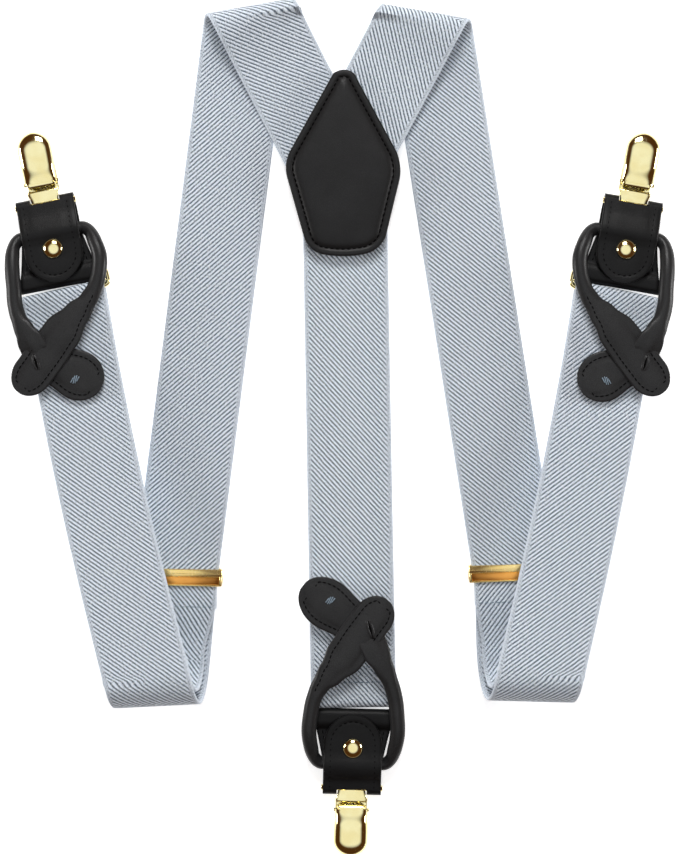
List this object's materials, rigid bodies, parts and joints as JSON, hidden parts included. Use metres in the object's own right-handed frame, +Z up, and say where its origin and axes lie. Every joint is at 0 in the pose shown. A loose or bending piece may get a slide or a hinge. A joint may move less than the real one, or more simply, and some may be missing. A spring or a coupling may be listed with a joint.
{
  "type": "suspenders",
  "caption": "Y-back elastic suspenders laid flat, with a leather back patch, slide adjusters, rolled leather button loops and lever clips on snapped tabs",
  "frame": {"origin": "on the table under the middle of the laid-out suspenders", "axes": "+Y towards the folds above the back patch, +X across to the right-hand strap, +Z up from the table"},
  "size_m": [0.2753, 0.3533, 0.0236],
  "materials": {
    "webbing": "diagonal twill elastic, matt",
    "leather": "smooth black, satin",
    "rolled_leather": "rolled charcoal black, soft sheen",
    "gold": "polished gold-toned plating",
    "spring_steel": "plain spring wire",
    "rubber": "matt grip pad"
  },
  "bodies": {
    "root": {"back_patch_rear": "leather", "back_patch_front": "leather", "strap_left": "webbing", "strap_ring_left": "gold", "holder_left": "leather", "clip_tab_left": "leather", "snap_stud_left": "gold", "clip_base_left": "gold", "hinge_pin_left": "gold", "clip_spring_left": "spring_steel", "grip_pad_left": "rubber", "strap_right": "webbing", "strap_ring_right": "gold", "holder_right": "leather", "clip_tab_right": "leather", "snap_stud_right": "gold", "clip_base_right": "gold", "hinge_pin_right": "gold", "clip_spring_right": "spring_steel", "grip_pad_right": "rubber", "strap_centre": "webbing", "strap_ring_back": "gold", "holder_back": "leather", "clip_tab_back": "leather", "snap_stud_back": "gold", "clip_base_back": "gold", "hinge_pin_back": "gold", "clip_spring_back": "spring_steel", "grip_pad_back": "rubber"},
    "lever_left": {"clip_lever_left": "gold"},
    "jaw_left": {"clip_jaw_left": "gold"},
    "flap_left": {"tab_flap_left": "leather", "snap_cap_left": "gold"},
    "loop_left": {"button_loop_left": "rolled_leather"},
    "lever_right": {"clip_lever_right": "gold"},
    "jaw_right": {"clip_jaw_right": "gold"},
    "flap_right": {"tab_flap_right": "leather", "snap_cap_right": "gold"},
    "loop_right": {"button_loop_right": "rolled_leather"},
    "lever_back": {"clip_lever_back": "gold"},
    "jaw_back": {"clip_jaw_back": "gold"},
    "flap_back": {"tab_flap_back": "leather", "snap_cap_back": "gold"},
    "loop_back": {"button_loop_back": "rolled_leather"},
    "adjuster_left": {"adjuster_frame_left": "gold", "adjuster_bar_left": "gold", "strap_end_left": "webbing"},
    "adjuster_right": {"adjuster_frame_right": "gold", "adjuster_bar_right": "gold", "strap_end_right": "webbing"}
  },
  "joints": [
    {"name": "lever_hinge_left", "type": "hinge", "parent": "root", "child": "lever_left", "pos_m": [-0.12295, 0.10075, 0.0061], "axis": [0.9816, 0.1908, 0], "range_deg": [0, 80]},
    {"name": "jaw_hinge_left", "type": "hinge", "parent": "root", "child": "jaw_left", "pos_m": [-0.12295, 0.10075, 0.0061], "axis": [0.9816, 0.1908, 0], "range_deg": [0, 18]},
    {"name": "flap_hinge_left", "type": "hinge", "parent": "root", "child": "flap_left", "pos_m": [-0.12082, 0.08975, 0.00825], "axis": [-0.9816, -0.1908, 0], "range_deg": [0, 100]},
    {"name": "loop_swing_left", "type": "hinge", "parent": "root", "child": "loop_left", "pos_m": [-0.11891, 0.07994, 0.0054], "axis": [-0.9816, -0.1908, 0], "range_deg": [0, 100]},
    {"name": "lever_hinge_right", "type": "hinge", "parent": "root", "child": "lever_right", "pos_m": [0.12255, 0.10048, 0.0061], "axis": [0.9848, -0.1736, 0], "range_deg": [0, 80]},
    {"name": "jaw_hinge_right", "type": "hinge", "parent": "root", "child": "jaw_right", "pos_m": [0.12255, 0.10048, 0.0061], "axis": [0.9848, -0.1736, 0], "range_deg": [0, 18]},
    {"name": "flap_hinge_right", "type": "hinge", "parent": "root", "child": "flap_right", "pos_m": [0.12061, 0.08945, 0.00825], "axis": [-0.9848, 0.1736, 0], "range_deg": [0, 100]},
    {"name": "loop_swing_right", "type": "hinge", "parent": "root", "child": "loop_right", "pos_m": [0.11887, 0.0796, 0.0054], "axis": [-0.9848, 0.1736, 0], "range_deg": [0, 100]},
    {"name": "lever_hinge_back", "type": "hinge", "parent": "root", "child": "lever_back", "pos_m": [0.00484, -0.15775, 0.0061], "axis": [-0.9997, 0.0244, 0], "range_deg": [0, 80]},
    {"name": "jaw_hinge_back", "type": "hinge", "parent": "root", "child": "jaw_back", "pos_m": [0.00484, -0.15775, 0.0061], "axis": [-0.9997, 0.0244, 0], "range_deg": [0, 18]},
    {"name": "flap_hinge_back", "type": "hinge", "parent": "root", "child": "flap_back", "pos_m": [0.00511, -0.14655, 0.00825], "axis": [0.9997, -0.0244, 0], "range_deg": [0, 100]},
    {"name": "loop_swing_back", "type": "hinge", "parent": "root", "child": "loop_back", "pos_m": [0.0053, -0.13876, 0.0054], "axis": [0.9997, -0.0244, 0], "range_deg": [0, 100]},
    {"name": "adjuster_slide_left", "type": "slide", "parent": "root", "child": "adjuster_left", "axis": [0.1262, 0.992, 0], "range_m": [0, 0.15]},
    {"name": "adjuster_slide_right", "type": "slide", "parent": "root", "child": "adjuster_right", "axis": [-0.1547, 0.988, 0], "range_m": [0, 0.15]}
  ],
  "couplings": [
    {"joint": "jaw_hinge_left", "follows": "lever_hinge_left", "ratio": 0.2},
    {"joint": "jaw_hinge_right", "follows": "lever_hinge_right", "ratio": 0.2},
    {"joint": "jaw_hinge_back", "follows": "lever_hinge_back", "ratio": 0.2}
  ]
}
